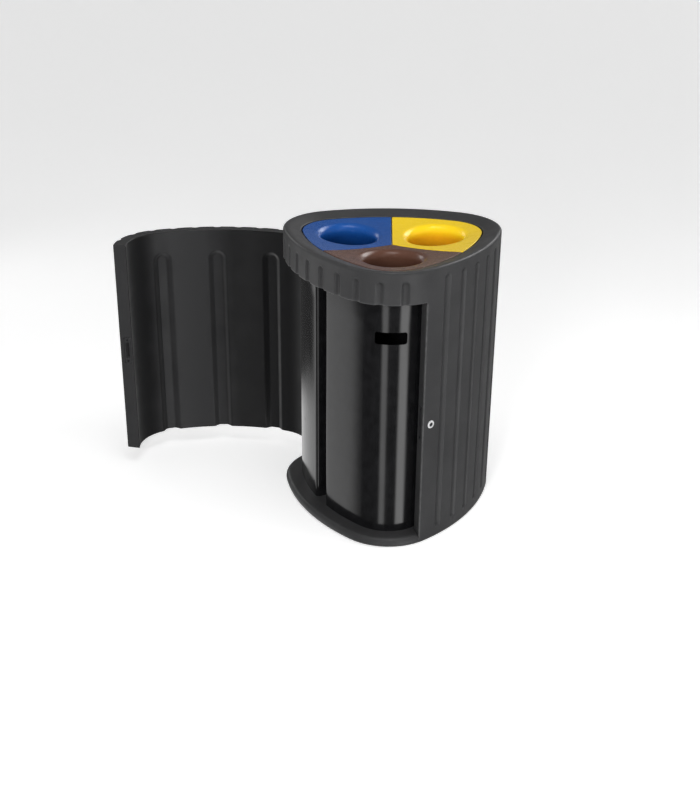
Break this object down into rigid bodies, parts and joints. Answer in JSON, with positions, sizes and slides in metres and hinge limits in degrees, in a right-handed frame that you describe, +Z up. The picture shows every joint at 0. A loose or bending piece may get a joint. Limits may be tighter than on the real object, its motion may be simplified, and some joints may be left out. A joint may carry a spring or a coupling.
{
  "type": "litter bin",
  "caption": "Free-standing street litter bin with a rounded-triangle body, open hinged side door, coloured round-hole inlets on top and lift-out sector containers inside.",
  "frame": {"origin": "on the floor at the centre of the rounded-triangle plan", "axes": "+Z up; -Y through the front corner; +Y through the middle of the back side; the open door stands out towards -X"},
  "size_m": [1.3949, 0.8732, 1],
  "materials": {
    "body_plastic": "moulded, fine grain, satin",
    "blue_plastic": "moulded satin",
    "yellow_plastic": "moulded satin",
    "brown_plastic": "moulded satin",
    "container_gloss": "gloss black coat",
    "lock_metal": "nickel plated",
    "plate_metal": "dark zinc",
    "pin_steel": "turned, zinc plated",
    "bracket_metal": "black powder coat",
    "fastener_steel": "zinc plated",
    "bush_plastic": "natural acetal"
  },
  "bodies": {
    "body": {"body_moulding": "body_plastic", "lower_pivot_pin": "pin_steel", "upper_pivot_pin": "pin_steel", "thrust_washer": "bush_plastic", "pivot_flange_screws": "fastener_steel", "lock_housing": "lock_metal", "lock_nut": "fastener_steel", "jamb_plate": "plate_metal", "jamb_plate_screws": "fastener_steel", "inlet_blue": "blue_plastic", "inlet_yellow": "yellow_plastic", "inlet_brown": "brown_plastic", "inlet_screws": "fastener_steel", "inlet_spider": "bracket_metal", "spider_screws": "fastener_steel", "hub_screws": "fastener_steel", "anchor_sleeves": "pin_steel", "body_vent_plug": "bush_plastic"},
    "door": {"door_moulding": "body_plastic", "lower_door_bush": "bush_plastic", "upper_door_bush": "bush_plastic", "door_keeper": "plate_metal", "keeper_screws": "fastener_steel", "door_vent_plug": "bush_plastic"},
    "lock": {"lock_plug": "lock_metal", "lock_cam": "pin_steel", "cam_screw": "fastener_steel"},
    "container_front": {"container_front_wrap": "container_gloss", "container_front_pan": "container_gloss"},
    "container_left": {"container_left_wrap": "container_gloss", "container_left_pan": "container_gloss"},
    "container_right": {"container_right_wrap": "container_gloss", "container_right_pan": "container_gloss"}
  },
  "joints": [
    {"name": "door_swing", "type": "hinge", "parent": "body", "child": "door", "pos_m": [-0.2765, 0.2524, 0], "axis": [0, 0, -1], "range_deg": [-118.2, 1.5]},
    {"name": "lock_turn", "type": "hinge", "parent": "body", "child": "lock", "pos_m": [0.13893, -0.35357, 0.452], "axis": [0.6604, -0.7509, 0], "range_deg": [0, 90]},
    {"name": "container_front_slide", "type": "slide", "parent": "body", "child": "container_front", "axis": [-0.866, -0.5, 0], "range_m": [0, 0.55]},
    {"name": "container_left_slide", "type": "slide", "parent": "body", "child": "container_left", "axis": [-0.866, -0.5, 0], "range_m": [0, 0.55]},
    {"name": "container_right_slide", "type": "slide", "parent": "body", "child": "container_right", "axis": [-0.866, -0.5, 0], "range_m": [0, 0.05]}
  ]
}
